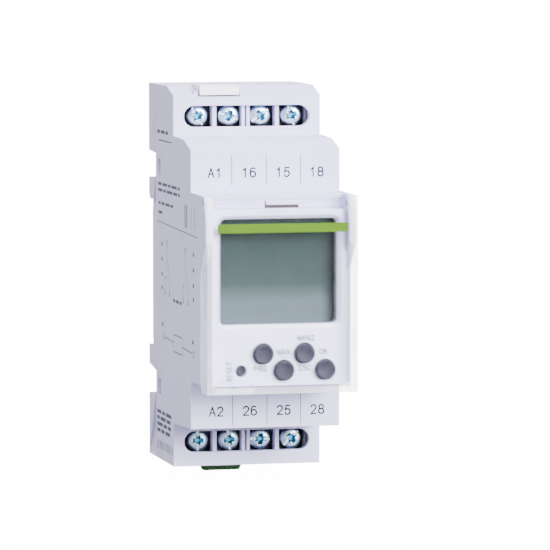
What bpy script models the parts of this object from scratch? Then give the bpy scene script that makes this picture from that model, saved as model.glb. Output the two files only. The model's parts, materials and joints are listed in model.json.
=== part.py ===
"""Two-module digital time switch for a 35 mm DIN rail, as separate pieces.

Sizes are millimetres, turned into metres when a mesh is made.
X runs to the right, Y runs from the front into the cabinet, Z is up.
The origin is the centre of the face that rests on the rail.
"""
import math

import bmesh
import bpy
from mathutils import Matrix, Vector

MM = 0.001
GAP = 0.3
OVERSHOOT = 1.0

# Casing
HALF_WIDTH = 17.8
WALL = 1.6
TOP = 45.6
BOTTOM = -44.4
FOOT_Y = 4.3
SPLIT_Y = -3.4
TERMINAL_Y = -23.7
TIER_Y = -42.9
BODY_FRONT_Y = -53.2
CASING_OUTLINE = [
    (SPLIT_Y - GAP, TOP), (-16.4, TOP), (TERMINAL_Y, 43.6), (TERMINAL_Y, 34.1), (-35.2, 33.8),
    (TIER_Y, 31.8), (TIER_Y, 22.0), (BODY_FRONT_Y, 21.8), (BODY_FRONT_Y, -22.0), (TIER_Y, -22.2),
    (TIER_Y, -33.3), (TERMINAL_Y, -34.2), (TERMINAL_Y, BOTTOM), (SPLIT_Y - GAP, BOTTOM),
]
BLOCK_HALF = 15.8
BLOCK_FRONT_Y = -54.9
BLOCK_Z = (-22.0, 18.4)
BLOCK_WALL = 1.4
BLOCK_FLOOR = 0.7
EAR_X = (16.0, HALF_WIDTH)
EAR_OUTLINE = [
    (-52.4, 3.9), (-58.9, 11.3), (-58.9, 15.5), (-58.0, 19.5), (-57.2, 21.8), (-52.4, 21.8),
]

# Rail interface
RAIL_HALF = 17.7
SEAT_HALF = 15.9
SEAT_RELIEF_Y = -0.4
HOOK_HALF = 12.0
HOOK_Z = (16.2, 19.3)
HOOK_Y = 1.4
TOP_FOOT = [(SPLIT_Y, TOP), (FOOT_Y, TOP), (FOOT_Y, 29.4), (SPLIT_Y, 29.0)]
SEAT_AND_FEET = [
    (SPLIT_Y, 23.3), (FOOT_Y, 22.9), (FOOT_Y, 19.0), (3.1, RAIL_HALF), (SEAT_RELIEF_Y, RAIL_HALF),
    (SEAT_RELIEF_Y, SEAT_HALF), (0.0, SEAT_HALF), (0.0, -SEAT_HALF), (SEAT_RELIEF_Y, -SEAT_HALF),
    (SEAT_RELIEF_Y, -RAIL_HALF), (FOOT_Y, -RAIL_HALF), (FOOT_Y, -22.3), (SPLIT_Y, -23.4),
]
BOTTOM_FOOT = [(SPLIT_Y, -28.8), (FOOT_Y, -29.5), (FOOT_Y, BOTTOM), (SPLIT_Y, BOTTOM)]
PLUG_DEPTH = 1.8
PLUG_SIDE = HALF_WIDTH - WALL - GAP
ROOT_INSET = 0.5
ROOT_REACH = 1.0
HOLLOW_HALF = PLUG_SIDE - 1.4
HOLLOW_FRONT_Y = SPLIT_Y - 3.0
HOLLOW_BACK_Y = FOOT_Y - WALL
SEAT_HOLLOW_Y = (HOLLOW_FRONT_Y, -1.8)
SEAT_HOLLOW_Z = (-15.0, 15.0)
TOP_HOLLOW_Z = (31.2, 42.2)
LOW_HOLLOW_Z = (-41.0, -31.2)
LOW_HOLLOW_X = 7.6
SNAP_Z = (25.8, -27.0)
SNAP_WINDOW = 4.0
SNAP_Y = (-9.3, -5.9)
SNAP_ARM = 1.0
SNAP_REACH = HALF_WIDTH - 0.6

# Rail clip
CLIP_HALF = 4.7
CLIP_FLANGE = 5.6
CLIP_BOTTOM = -48.7
CLIP_TOP = -16.2
CLIP_Y = (0.6, 1.8, 3.4)
CLIP_STEM_END = -46.4
CLIP_FOOT_X = (-5.6, 4.2)
CLIP_FOOT_Z = (-46.0, -47.6)
CLIP_FOOT_TAPER = 0.5
CLIP_SHOULDER_Z = (-41.0, -18.3)
CLIP_NOSE_Y = 1.5
CLIP_NOSE_Z = -17.9
CLIP_WINDOW_HALF = 1.9
CLIP_WINDOW_Z = (-42.0, -31.5)
PEG_HALF = 1.4
PEG_Y = (-0.2, 3.0)
PEG_Z = (-41.6, -40.4)
SPRING_Y = 2.0
SPRING_TURNS = 7
SPRING_STEPS = 10
SPRING_SIDES = 5
SPRING_RADIUS = 1.0
SPRING_WIRE = 0.22

# Terminals
TERMINAL_X = (-11.4, -3.8, 3.8, 11.4)
ROWS = (("upper", 1.0), ("lower", -1.0))
TERMINAL_Z = 38.6
SLOT_HALF = 15.25
SLOT_RADIUS = 2.5
SCREW_HEAD_R = 2.5
SCREW_SHANK_R = 1.45
SCREW_Y = (-21.6, -19.8, -14.0)
RECESS_DEPTH = 0.9
CAGE_HALF_X = 3.0
CAGE_INNER_X = 2.2
CAGE_HALF_Z = 2.6
CAGE_Y = (-15.3, -14.0, -7.6, -6.4)
BAR_HALF_X = 1.9
BAR_Y = (-13.6, -12.4)
BAR_THICK = 1.2
CARRIER_Y = (-19.4, -18.3, -6.0)
CARRIER_HALF = 15.7
CARRIER_HALF_Z = 3.4
CARRIER_WALLS = ((-15.7, -14.7), (-8.1, -7.1), (-0.5, 0.5), (7.1, 8.1), (14.7, 15.7))
RIBS = ((-7.6, 0.5), (-0.6, 0.4), (0.6, 0.4), (7.6, 0.5))
RIB_HALF_Z = 3.6
RIB_ROOT = 0.4
HEAD_RISE = 0.45
SLOT_CUT = (0.35, 0.6)
CROSS_HALF = (1.45, 0.45)
SCREW_CLEARANCE = 0.2
BAR_INNER = 8.4
BAR_OUTER = 2.2
WIRE_HALF_X = 2.4
WIRE_Y = (-12.4, -7.5)
MARKS = {"upper": ("A1", "16", "15", "18"), "lower": ("A2", "26", "25", "28")}

# Battery module
MODULE_X = (-11.4, -1.9)
MODULE_Y = (-23.9, -14.0)
MODULE_Z = (43.6, 45.9)
POCKET_MARGIN = 1.3
POCKET_WALL_Y = (TERMINAL_Y + 0.5, -12.9)
POCKET_WALL_Z = (42.3, 44.6)
POCKET_FLOOR = 43.3
CELL_RADIUS = 4.3
CELL_CLEARANCE = 0.25
CELL_Z = (43.9, 45.1)

# Front
PANEL_Y = (-56.7, -55.2)
PANEL_HALF = 15.8
WINDOW_X = (-13.9, 13.9)
WINDOW_Z = (-7.9, 16.5)
WINDOW_CORNER = 1.2
WINDOW_CHAMFER = 0.8
LCD_HALF = 14.1
LCD_Z = (-9.9, 17.1)
LCD_Y = (-54.9, -53.1)
FRAME_Y = (-52.8, -50.8)
FRAME_RIM = 1.3
DISPLAY_BOARD_Y = (-50.5, -49.3)
KEY_GRID = {"prg": (-3.8, -14.6), "man": (1.1, -18.5), "esc": (6.0, -14.6), "ok": (10.9, -18.5)}
KEY_RADIUS = 2.3
KEY_FRONT = -58.1
KEY_FLANGE = 2.7
KEY_BACK = -53.9
KEY_EDGE = 0.25
KEY_CLEARANCE = 0.2
KEY_OVERLAP = 0.4
KEY_FLANGE_THICK = 0.8
KEY_STEM = 0.6
RESET_AT = (-9.0, -18.5)
RESET_RADIUS = 1.2
RESET_FLANGE = 1.9
RESET_FRONT = -56.3
SWITCH_HALF = 1.9
SWITCH_DEPTH = 1.8
PLUNGER_RADIUS = 1.1
PLUNGER_REACH = (2.4, 1.0)

# Cover
COVER_HALF = 17.75
COVER_Y = (-60.4, -59.3, -53.6)
COVER_Z = (-23.5, 21.9)
COVER_WALL = 1.2
HINGE = (-56.3, 20.0)
BARREL_RADIUS = 1.2
BARREL_HALF = 15.6
PIN_RADIUS = 0.7
PIN_END = 17.4
PIN_HOLE = 0.85
PIN_ROOT = 0.4
PLATE_ROOT = 0.2
SKIRT_THICK = 1.4
SKIRT_TOP = (10.9, 4.3)
ROOF_BACK = -57.8
ROOF_THICK = 1.0
WEB_BACK = -56.7
WEB_Z = (19.4, 20.4)
THUMB_SLOT = 4.0

# Inside
BOARD_HALF = 15.7
MAIN_BOARD_Y = (-26.5, -24.9)
MAIN_BOARD_Z = (-31.0, 31.0)
DISPLAY_BOARD_Z = (-20.0, 19.6)
LINK_X = (3.0, 13.0)
LINK_Z = (-18.0, -15.4)
PARTS_FRONT_Y = MAIN_BOARD_Y[1] + GAP
RELAY_X = ((-15.0, -1.6), (1.6, 15.0))
RELAY_Y = (PARTS_FRONT_Y, -9.6)
RELAY_Z = (6.0, 26.0)
CORE_X = (-14.6, 1.4)
CORE_Y = (PARTS_FRONT_Y, -9.0)
CORE_Z = (-25.6, -8.0)
CORE_STEP = 2.2
CORE_STEP_Y = (-21.0, -12.0)
CORE_STEP_Z = ((-26.0, -22.6), (-11.0, -7.6))
CAPACITOR_AT = (9.2, -16.6)
CAPACITOR_Y = (PARTS_FRONT_Y, -9.0)
CAPACITOR_RADIUS = 5.0

COLOURS = {
    "casing": (0.72, 0.72, 0.77, 1.0, 0.45, 0.0),
    "base": (0.70, 0.70, 0.75, 1.0, 0.5, 0.0),
    "panel": (0.78, 0.78, 0.81, 1.0, 0.4, 0.0),
    "clear": (0.92, 0.93, 0.95, 0.3, 0.08, 0.0),
    "display": (0.22, 0.28, 0.27, 1.0, 0.2, 0.0),
    "key": (0.16, 0.16, 0.20, 1.0, 0.55, 0.0),
    "dark": (0.03, 0.03, 0.04, 1.0, 0.5, 0.0),
    "zinc": (0.70, 0.74, 0.78, 1.0, 0.3, 1.0),
    "brass": (0.72, 0.55, 0.28, 1.0, 0.35, 1.0),
    "green": (0.05, 0.25, 0.06, 1.0, 0.45, 0.0),
    "white": (0.88, 0.88, 0.88, 1.0, 0.4, 0.0),
    "board": (0.03, 0.22, 0.09, 1.0, 0.5, 0.0),
    "relay": (0.75, 0.35, 0.08, 1.0, 0.4, 0.0),
    "steel": (0.65, 0.66, 0.68, 1.0, 0.3, 1.0),
}


def clear_scene():
    for obj in list(bpy.data.objects):
        bpy.data.objects.remove(obj, do_unlink=True)


def material(kind):
    found = bpy.data.materials.get(kind)
    if found:
        return found
    made = bpy.data.materials.new(kind)
    made.use_nodes = True
    shader = made.node_tree.nodes["Principled BSDF"]
    red, green, blue, alpha, roughness, metallic = COLOURS[kind]
    shader.inputs["Base Color"].default_value = (red, green, blue, 1.0)
    shader.inputs["Alpha"].default_value = alpha
    shader.inputs["Roughness"].default_value = roughness
    shader.inputs["Metallic"].default_value = metallic
    return made


def point(axis, along, u, v):
    """World point in metres; u and v are the two other axes in X, Y, Z order."""
    coords = {"X": (along, u, v), "Y": (u, along, v), "Z": (u, v, along)}[axis]
    return Vector(coords) * MM


def link(name, bm):
    bmesh.ops.recalc_face_normals(bm, faces=bm.faces)
    mesh = bpy.data.meshes.new(name)
    bm.to_mesh(mesh)
    bm.free()
    obj = bpy.data.objects.new(name, mesh)
    bpy.context.scene.collection.objects.link(obj)
    return obj


def loft(name, axis, sections):
    """Closed solid through outlines of equal length, each at its place along the axis."""
    bm = bmesh.new()
    rings = []
    for along, outline in sections:
        rings.append([bm.verts.new(point(axis, along, u, v)) for u, v in outline])
    bm.faces.new(rings[0])
    bm.faces.new(rings[-1])
    for ring, following in zip(rings, rings[1:]):
        count = len(ring)
        for i in range(count):
            j = (i + 1) % count
            bm.faces.new((ring[i], ring[j], following[j], following[i]))
    return link(name, bm)


def prism(name, axis, span, outline):
    return loft(name, axis, [(span[0], outline), (span[1], outline)])


def box(name, x, y, z):
    outline = [(y[0], z[0]), (y[1], z[0]), (y[1], z[1]), (y[0], z[1])]
    return prism(name, "X", x, outline)


def circle(centre, radius, sides=24):
    step = math.tau / sides
    return [(centre[0] + radius * math.cos(i * step), centre[1] + radius * math.sin(i * step))
            for i in range(sides)]


def rod(name, axis, span, centre, radius, sides=24):
    return prism(name, axis, span, circle(centre, radius, sides))


def rounded_rectangle(x, z, radius, steps=5):
    corners = [(x[1], z[1], 0.0), (x[0], z[1], 90.0), (x[0], z[0], 180.0), (x[1], z[0], 270.0)]
    outline = []
    for u, v, start in corners:
        centre_u = u - radius if u == x[1] else u + radius
        centre_v = v - radius if v == z[1] else v + radius
        for i in range(steps + 1):
            angle = math.radians(start + 90.0 * i / steps)
            outline.append((centre_u + radius * math.cos(angle), centre_v + radius * math.sin(angle)))
    return outline


def inset(outline, distance):
    """The outline moved inwards: each corner is where its two shifted edges meet."""
    area = sum(a[0] * b[1] - b[0] * a[1] for a, b in zip(outline, outline[1:] + outline[:1]))
    side = 1.0 if area > 0 else -1.0
    moved = []
    for before, here, after in zip(outline[-1:] + outline[:-1], outline, outline[1:] + outline[:1]):
        first = (Vector(here) - Vector(before)).normalized()
        second = (Vector(after) - Vector(here)).normalized()
        normal_a = Vector((-first.y, first.x)) * side
        normal_b = Vector((-second.y, second.x)) * side
        bisector = (normal_a + normal_b).normalized()
        corner = Vector(here) + bisector * (distance / bisector.dot(normal_a))
        moved.append((corner.x, corner.y))
    return moved


def combine(target, tools, operation):
    """Applies each tool to the target with an exact boolean, then removes the tool."""
    for tool in tools:
        modifier = target.modifiers.new("combine", "BOOLEAN")
        modifier.operation = operation
        modifier.object = tool
        graph = bpy.context.evaluated_depsgraph_get()
        result = bpy.data.meshes.new_from_object(target.evaluated_get(graph))
        target.modifiers.clear()
        target.data = result
        bpy.data.objects.remove(tool, do_unlink=True)
    return target


def join(target, *tools):
    return combine(target, tools, "UNION")


def cut(target, *tools):
    return combine(target, tools, "DIFFERENCE")


def finish(obj, name, kind, origin=(0.0, 0.0, 0.0), smooth=False):
    """Names the piece, gives it its material and puts its origin on its joint's axis."""
    place = Vector(origin) * MM
    obj.name = name
    obj.data.name = name
    obj.data.materials.clear()
    obj.data.materials.append(material(kind))
    obj.data.transform(Matrix.Translation(-place))
    obj.location = place
    if smooth:
        obj.data.shade_smooth()
        obj.data.set_sharp_from_angle(angle=math.radians(35.0))
    return obj


def slot_outline(z):
    """Long window with half-round ends."""
    right = [(SLOT_HALF - SLOT_RADIUS + SLOT_RADIUS * math.cos(a), z + SLOT_RADIUS * math.sin(a))
             for a in [math.radians(-90 + 22.5 * i) for i in range(9)]]
    left = [(-u, 2 * z - v) for u, v in right]
    return right + left


def casing_cavity():
    """Everything inside the casing's walls, open towards the rail."""
    outline = inset(CASING_OUTLINE, WALL)
    outline[0] = (SPLIT_Y + OVERSHOOT, outline[0][1])
    outline[-1] = (SPLIT_Y + OVERSHOOT, outline[-1][1])
    return prism("cavity", "X", (-HALF_WIDTH + WALL, HALF_WIDTH - WALL), outline)


def display_cavity():
    inner = BLOCK_HALF - BLOCK_WALL
    z = (BLOCK_Z[0] + BLOCK_FLOOR, BLOCK_Z[1] - OVERSHOOT)
    return box("display_cavity", (-inner, inner), (BLOCK_FRONT_Y - OVERSHOOT, BODY_FRONT_Y + WALL * 2), z)


def casing_cutters():
    cutters = [casing_cavity(), display_cavity()]
    for _, sign in ROWS:
        outline = slot_outline(sign * TERMINAL_Z)
        cutters.append(prism("slot", "Y", (TERMINAL_Y - OVERSHOOT, TERMINAL_Y + WALL + OVERSHOOT), outline))
        low, high = sorted((sign * (abs(BOTTOM) - WALL - OVERSHOOT), sign * (TOP + OVERSHOOT)))
        for x in TERMINAL_X:
            cutters.append(box("wire", (x - WIRE_HALF_X, x + WIRE_HALF_X), WIRE_Y, (low, high)))
    for z in SNAP_Z:
        half = SNAP_WINDOW / 2
        across = (-HALF_WIDTH - OVERSHOOT, HALF_WIDTH + OVERSHOOT)
        cutters.append(box("snap", across, SNAP_Y, (z - half, z + half)))
    return cutters


def terminal_ribs(sign):
    """Upright ribs behind the terminal window; the middle one is split by a groove."""
    y = (TERMINAL_Y + WALL - RIB_ROOT, CARRIER_Y[0] - GAP)
    z = sorted((sign * (TERMINAL_Z - RIB_HALF_Z), sign * (TERMINAL_Z + RIB_HALF_Z)))
    for x, half in RIBS:
        yield box("rib", (x - half, x + half), y, z)


def housing_shell():
    shell = prism("housing", "X", (-HALF_WIDTH, HALF_WIDTH), CASING_OUTLINE)
    join(shell, box("block", (-BLOCK_HALF, BLOCK_HALF), (BLOCK_FRONT_Y, BODY_FRONT_Y + WALL / 2), BLOCK_Z))
    for side in (-1, 1):
        span = sorted((side * EAR_X[0], side * EAR_X[1]))
        join(shell, prism("ear", "X", span, EAR_OUTLINE))
    cut(shell, *casing_cutters())
    wall_x = (MODULE_X[0] - POCKET_MARGIN, MODULE_X[1] + POCKET_MARGIN)
    join(shell, box("pocket_wall", wall_x, POCKET_WALL_Y, POCKET_WALL_Z))
    pocket_x = (MODULE_X[0] - GAP, MODULE_X[1] + GAP)
    pocket_y = (TERMINAL_Y - OVERSHOOT, MODULE_Y[1] + GAP)
    cut(shell, box("pocket", pocket_x, pocket_y, (POCKET_FLOOR, TOP + OVERSHOOT)))
    cut(shell, rod("pin_hole", "X", (-HALF_WIDTH - OVERSHOOT, HALF_WIDTH + OVERSHOOT), HINGE, PIN_HOLE, 16))
    for _, sign in ROWS:
        join(shell, *terminal_ribs(sign))
    return finish(shell, "housing_shell", "casing")


def snap_hook(side, z):
    half = SNAP_WINDOW / 2 - GAP
    arm_x = sorted((side * (PLUG_SIDE - SNAP_ARM), side * PLUG_SIDE))
    barb_x = sorted((side * (PLUG_SIDE - SNAP_ARM), side * SNAP_REACH))
    arm = box("arm", arm_x, (SNAP_Y[0] + GAP, SPLIT_Y - WALL), (z - half, z + half))
    barb = box("barb", barb_x, (SNAP_Y[0] + GAP, SNAP_Y[1] - GAP), (z - half, z + half))
    return join(arm, barb)


def clip_channel():
    """T-shaped way that the rail clip slides in, open at the back and below."""
    wide = CLIP_FLANGE + GAP
    narrow = CLIP_HALF + GAP
    floor = CLIP_Y[0] - GAP
    shoulder = CLIP_Y[1] + GAP
    rear = FOOT_Y + OVERSHOOT
    outline = [(-wide, floor), (wide, floor), (wide, shoulder), (narrow, shoulder),
               (narrow, rear), (-narrow, rear), (-narrow, shoulder), (-wide, shoulder)]
    return prism("channel", "Z", (BOTTOM - OVERSHOOT, -RAIL_HALF + OVERSHOOT), outline)


def rear_base():
    """Back plate: a plug that fits the casing, with feet above, around and below the rail."""
    plug_z = (BOTTOM + WALL + GAP, TOP - WALL - GAP)
    base = box("plug", (-PLUG_SIDE, PLUG_SIDE), (SPLIT_Y - PLUG_DEPTH, SPLIT_Y), plug_z)
    root_half = PLUG_SIDE - ROOT_INSET
    root_y = (SPLIT_Y - ROOT_REACH, SPLIT_Y + ROOT_REACH)
    for outline in (TOP_FOOT, SEAT_AND_FEET, BOTTOM_FOOT):
        low = max(outline[-1][1], plug_z[0]) + ROOT_INSET
        high = min(outline[0][1], plug_z[1]) - ROOT_INSET
        foot = prism("foot", "X", (-HALF_WIDTH, HALF_WIDTH), outline)
        join(foot, box("root", (-root_half, root_half), root_y, (low, high)))
        join(base, foot)
    join(base, box("hook", (-HOOK_HALF, HOOK_HALF), (HOOK_Y, FOOT_Y), HOOK_Z))
    across = (-HOLLOW_HALF, HOLLOW_HALF)
    cut(base, box("seat_hollow", across, SEAT_HOLLOW_Y, SEAT_HOLLOW_Z))
    cut(base, box("top_hollow", across, (HOLLOW_FRONT_Y, HOLLOW_BACK_Y), TOP_HOLLOW_Z))
    for side in (-1, 1):
        x = sorted((side * LOW_HOLLOW_X, side * HOLLOW_HALF))
        cut(base, box("low_hollow", x, (HOLLOW_FRONT_Y, HOLLOW_BACK_Y), LOW_HOLLOW_Z))
    cut(base, clip_channel())
    join(base, box("peg", (-PEG_HALF, PEG_HALF), PEG_Y, PEG_Z))
    for z in SNAP_Z:
        join(base, snap_hook(-1, z), snap_hook(1, z))
    return finish(base, "rear_base", "base")


def rail_clip():
    """Green slider whose nose holds the rail's lower edge; its foot is pulled down to release."""
    stem = [(-CLIP_HALF, CLIP_Y[0]), (CLIP_HALF, CLIP_Y[0]), (CLIP_HALF, CLIP_Y[2]), (-CLIP_HALF, CLIP_Y[2])]
    shoulder = [(-CLIP_FLANGE, CLIP_Y[0]), (CLIP_FLANGE, CLIP_Y[0]),
                (CLIP_FLANGE, CLIP_Y[1]), (-CLIP_FLANGE, CLIP_Y[1])]
    clip = prism("clip", "Z", (CLIP_STEM_END, CLIP_TOP), stem)
    join(clip, prism("shoulder", "Z", CLIP_SHOULDER_Z, shoulder))
    foot_top, foot_edge = CLIP_FOOT_Z
    left, right = CLIP_FOOT_X
    outline = [(left, foot_top), (right, foot_top), (right, foot_edge),
               (right - CLIP_FOOT_TAPER, CLIP_BOTTOM), (left + CLIP_FOOT_TAPER, CLIP_BOTTOM),
               (left, foot_edge)]
    join(clip, prism("foot", "Y", (CLIP_Y[0], CLIP_Y[2]), outline))
    across = (-CLIP_FLANGE - OVERSHOOT, CLIP_FLANGE + OVERSHOOT)
    cut(clip, box("nose", across, (-OVERSHOOT, CLIP_NOSE_Y), (CLIP_NOSE_Z, CLIP_TOP + OVERSHOOT)))
    cut(clip, box("window", (-CLIP_WINDOW_HALF, CLIP_WINDOW_HALF), (-OVERSHOOT, FOOT_Y), CLIP_WINDOW_Z))
    return finish(clip, "rail_clip", "green")


def clip_spring():
    """Compression coil between the base's peg and the upper end of the clip's window."""
    low = PEG_Z[1] + GAP + SPRING_WIRE
    high = CLIP_WINDOW_Z[1] - GAP - SPRING_WIRE
    steps = SPRING_TURNS * SPRING_STEPS
    centre = Vector((0.0, SPRING_Y, 0.0))
    bm = bmesh.new()
    rings = []
    for i in range(steps + 1):
        angle = math.tau * i / SPRING_STEPS
        outward = Vector((math.cos(angle), math.sin(angle), 0.0))
        middle = centre + outward * SPRING_RADIUS + Vector((0.0, 0.0, low + (high - low) * i / steps))
        ring = []
        for k in range(SPRING_SIDES):
            turn = math.tau * k / SPRING_SIDES
            offset = outward * math.cos(turn) + Vector((0.0, 0.0, 1.0)) * math.sin(turn)
            ring.append(bm.verts.new((middle + offset * SPRING_WIRE) * MM))
        rings.append(ring)
    for ring, following in zip(rings, rings[1:]):
        for k in range(SPRING_SIDES):
            j = (k + 1) % SPRING_SIDES
            bm.faces.new((ring[k], ring[j], following[j], following[k]))
    bm.faces.new(rings[0])
    bm.faces.new(rings[-1])
    return finish(link("spring", bm), "clip_spring", "steel", smooth=True)


def terminal_carrier(row, sign):
    """Comb of insulating walls around the four clamps of one row."""
    front, back, rear = CARRIER_Y
    outline = [(CARRIER_HALF, front), (-CARRIER_HALF, front)]
    for low, high in CARRIER_WALLS:
        outline += [(low, back), (low, rear), (high, rear), (high, back)]
    outline = outline[:2] + outline[3:-1]
    z = sorted((sign * (TERMINAL_Z - CARRIER_HALF_Z), sign * (TERMINAL_Z + CARRIER_HALF_Z)))
    carrier = prism("carrier", "Z", z, outline)
    for x in TERMINAL_X:
        through = (front - OVERSHOOT, back + OVERSHOOT)
        cut(carrier, rod("hole", "Y", through, (x, sign * TERMINAL_Z), SCREW_SHANK_R + GAP, 16))
    return finish(carrier, f"{row}_terminal_carrier", "dark")


def screw_mesh():
    """Pan head with a cross recess and a slot across it, on a plain shank, about its own axis."""
    head_front, head_back, tip = SCREW_Y
    head = loft("screw", "Y", [
        (head_front, circle((0, 0), SCREW_HEAD_R - HEAD_RISE)),
        (head_front + HEAD_RISE, circle((0, 0), SCREW_HEAD_R)),
        (head_back, circle((0, 0), SCREW_HEAD_R)),
    ])
    join(head, rod("shank", "Y", (head_back - SCREW_CLEARANCE, tip), (0, 0), SCREW_SHANK_R, 16))
    depth = (head_front - OVERSHOOT, head_front + RECESS_DEPTH)
    slot_half, slot_depth = SLOT_CUT
    across = (-SCREW_HEAD_R - OVERSHOOT, SCREW_HEAD_R + OVERSHOOT)
    slot = box("slot", across, (depth[0], head_front + slot_depth), (-slot_half, slot_half))
    arm, thick = CROSS_HALF
    cross = box("cross", (-arm, arm), depth, (-thick, thick))
    upright = box("upright", (-thick, thick), depth, (-arm, arm))
    return cut(head, slot, cross, upright)


def terminal_screws():
    pattern = screw_mesh()
    for row, sign in ROWS:
        for mark, x in zip(MARKS[row], TERMINAL_X):
            copy = bpy.data.objects.new("copy", pattern.data.copy())
            bpy.context.scene.collection.objects.link(copy)
            finish(copy, f"screw_{mark}", "zinc", smooth=True)
            copy.location = Vector((x, 0.0, sign * TERMINAL_Z)) * MM
    bpy.data.objects.remove(pattern, do_unlink=True)


def terminal_cage(mark, x, z):
    front, front_back, rear_front, rear = CAGE_Y
    z_span = (z - CAGE_HALF_Z, z + CAGE_HALF_Z)
    cage = box("cage", (x - CAGE_HALF_X, x + CAGE_HALF_X), (front, rear), z_span)
    inner_z = (z_span[0] - OVERSHOOT, z_span[1] + OVERSHOOT)
    cut(cage, box("inner", (x - CAGE_INNER_X, x + CAGE_INNER_X), (front_back, rear_front), inner_z))
    through = (front - OVERSHOOT, front_back + OVERSHOOT)
    cut(cage, rod("thread", "Y", through, (x, z), SCREW_SHANK_R + SCREW_CLEARANCE, 16))
    return finish(cage, f"cage_{mark}", "zinc")


def contact_bar(mark, x, sign):
    """Flat bar through the cage, bent forward to its solder joint on the main board."""
    inner = TERMINAL_Z - BAR_INNER
    outer = TERMINAL_Z + BAR_OUTER
    leg_y = MAIN_BOARD_Y[1] + GAP
    outline = [(BAR_Y[0], outer), (BAR_Y[1], outer), (BAR_Y[1], inner - BAR_THICK),
               (leg_y, inner - BAR_THICK), (leg_y, inner), (BAR_Y[0], inner)]
    outline = [(y, sign * z) for y, z in outline]
    bar = prism("bar", "X", (x - BAR_HALF_X, x + BAR_HALF_X), outline)
    return finish(bar, f"contact_{mark}", "brass")


def terminals():
    for row, sign in ROWS:
        terminal_carrier(row, sign)
        for mark, x in zip(MARKS[row], TERMINAL_X):
            terminal_cage(mark, x, sign * TERMINAL_Z)
            contact_bar(mark, x, sign)


def battery_module():
    """Plug-in head of the back-up battery; the cell sits in a pocket on its underside."""
    module = box("module", MODULE_X, MODULE_Y, MODULE_Z)
    centre = (sum(MODULE_X) / 2, sum(MODULE_Y) / 2)
    pocket_z = (MODULE_Z[0] - OVERSHOOT, CELL_Z[1] + GAP)
    cut(module, rod("pocket", "Z", pocket_z, centre, CELL_RADIUS + CELL_CLEARANCE, 28))
    finish(module, "battery_module", "white")
    cell = rod("cell", "Z", CELL_Z, centre, CELL_RADIUS, 28)
    finish(cell, "battery_cell", "steel", smooth=True)


def front_panel():
    panel = box("panel", (-PANEL_HALF, PANEL_HALF), PANEL_Y, BLOCK_Z)
    inner = rounded_rectangle(WINDOW_X, WINDOW_Z, WINDOW_CORNER)
    wider_x = (WINDOW_X[0] - WINDOW_CHAMFER, WINDOW_X[1] + WINDOW_CHAMFER)
    wider_z = (WINDOW_Z[0] - WINDOW_CHAMFER, WINDOW_Z[1] + WINDOW_CHAMFER)
    outer = rounded_rectangle(wider_x, wider_z, WINDOW_CORNER + WINDOW_CHAMFER)
    cut(panel, loft("window", "Y", [
        (PANEL_Y[0] - OVERSHOOT, outer), (PANEL_Y[0], outer),
        (PANEL_Y[0] + WINDOW_CHAMFER, inner), (PANEL_Y[1] + OVERSHOOT, inner),
    ]))
    through = (PANEL_Y[0] - OVERSHOOT, PANEL_Y[1] + OVERSHOOT)
    for place in KEY_GRID.values():
        cut(panel, rod("key_hole", "Y", through, place, KEY_RADIUS + KEY_CLEARANCE))
    cut(panel, rod("reset_hole", "Y", through, RESET_AT, RESET_RADIUS + KEY_CLEARANCE, 16))
    return finish(panel, "front_panel", "panel")


def key(name, place, radius, flange, front):
    seat = LCD_Y[0]
    cap = loft("key", "Y", [
        (front, circle(place, radius - KEY_EDGE)),
        (front + KEY_EDGE, circle(place, radius)),
        (seat + KEY_OVERLAP, circle(place, radius)),
    ])
    join(cap, rod("flange", "Y", (seat, seat + KEY_FLANGE_THICK), place, flange))
    join(cap, rod("stem", "Y", (seat + KEY_OVERLAP, KEY_BACK), place, radius * KEY_STEM, 16))
    return finish(cap, name, "key", (place[0], front, place[1]), smooth=True)


def tact_switch(name, place):
    x = (place[0] - SWITCH_HALF, place[0] + SWITCH_HALF)
    z = (place[1] - SWITCH_HALF, place[1] + SWITCH_HALF)
    back = DISPLAY_BOARD_Y[0] - GAP
    body = box("switch", x, (back - SWITCH_DEPTH, back), z)
    plunger_y = (back - PLUNGER_REACH[0], back - PLUNGER_REACH[1])
    join(body, rod("plunger", "Y", plunger_y, place, PLUNGER_RADIUS, 12))
    return finish(body, name, "dark")


def keys():
    for name, place in KEY_GRID.items():
        key(f"key_{name}", place, KEY_RADIUS, KEY_FLANGE, KEY_FRONT)
        tact_switch(f"switch_{name}", place)
    key("key_reset", RESET_AT, RESET_RADIUS, RESET_FLANGE, RESET_FRONT)
    tact_switch("switch_reset", RESET_AT)


def display():
    finish(box("lcd", (-LCD_HALF, LCD_HALF), LCD_Y, LCD_Z), "lcd_glass", "display")
    frame = box("frame", (-LCD_HALF, LCD_HALF), FRAME_Y, LCD_Z)
    rim_x = (-LCD_HALF + FRAME_RIM, LCD_HALF - FRAME_RIM)
    rim_z = (LCD_Z[0] + FRAME_RIM, LCD_Z[1] - FRAME_RIM)
    through = (FRAME_Y[0] - OVERSHOOT, FRAME_Y[1] + OVERSHOOT)
    cut(frame, box("opening", rim_x, through, rim_z))
    finish(frame, "lcd_frame", "white")
    board = box("board", (-BOARD_HALF, BOARD_HALF), DISPLAY_BOARD_Y, DISPLAY_BOARD_Z)
    finish(board, "display_board", "board")


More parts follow.
